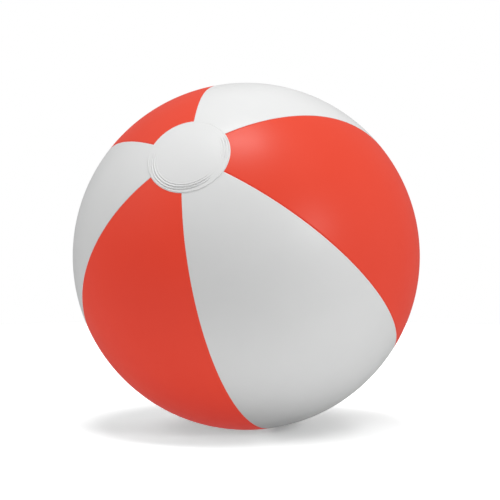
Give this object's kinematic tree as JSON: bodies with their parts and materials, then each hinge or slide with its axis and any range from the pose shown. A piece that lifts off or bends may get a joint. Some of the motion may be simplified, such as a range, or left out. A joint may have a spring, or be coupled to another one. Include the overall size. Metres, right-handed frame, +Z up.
{
  "type": "inflatable beach ball",
  "caption": "Round inflated ball of alternating red and white film panels, with round end discs and a push-in air valve with a hinged plug.",
  "frame": {"origin": "middle of the small flat where the ball rests on the ground", "axes": "+Z up; -Y towards the viewer who sees the front end disc at the upper left; +X to that viewer's right"},
  "size_m": [0.2598, 0.2594, 0.2593],
  "materials": {
    "red_film": "satin PVC film",
    "white_film": "satin PVC film",
    "valve_vinyl": "soft translucent vinyl"
  },
  "bodies": {
    "ball": {"white_panel_front": "white_film", "red_panel_right": "red_film", "white_panel_top": "white_film", "red_panel_valve": "red_film", "white_panel_left": "white_film", "red_panel_base": "red_film", "front_end_disc": "white_film", "back_end_disc": "white_film", "valve_flange": "valve_vinyl", "valve_skirt": "valve_vinyl"},
    "stem": {"valve_stem": "valve_vinyl", "plug_strap": "valve_vinyl"},
    "plug": {"valve_plug": "valve_vinyl"},
    "flap": {"check_flap": "valve_vinyl"}
  },
  "joints": [
    {"name": "stem_pull", "type": "slide", "parent": "ball", "child": "stem", "axis": [-0.4462, 0.484, 0.7527], "range_m": [0, 0.012], "deforming": ["valve_skirt"]},
    {"name": "plug_swing", "type": "hinge", "parent": "stem", "child": "plug", "pos_m": [-0.05953, 0.05773, 0.22991], "axis": [0.8633, 0.0111, 0.5046], "range_deg": [0, 110]},
    {"name": "flap_swing", "type": "hinge", "parent": "stem", "child": "flap", "pos_m": [-0.05325, 0.05278, 0.21928], "axis": [-0.8633, -0.0111, -0.5046], "range_deg": [0, 60], "stiffness_Nm_per_rad": 0.00002, "springref_deg": -17.19}
  ]
}
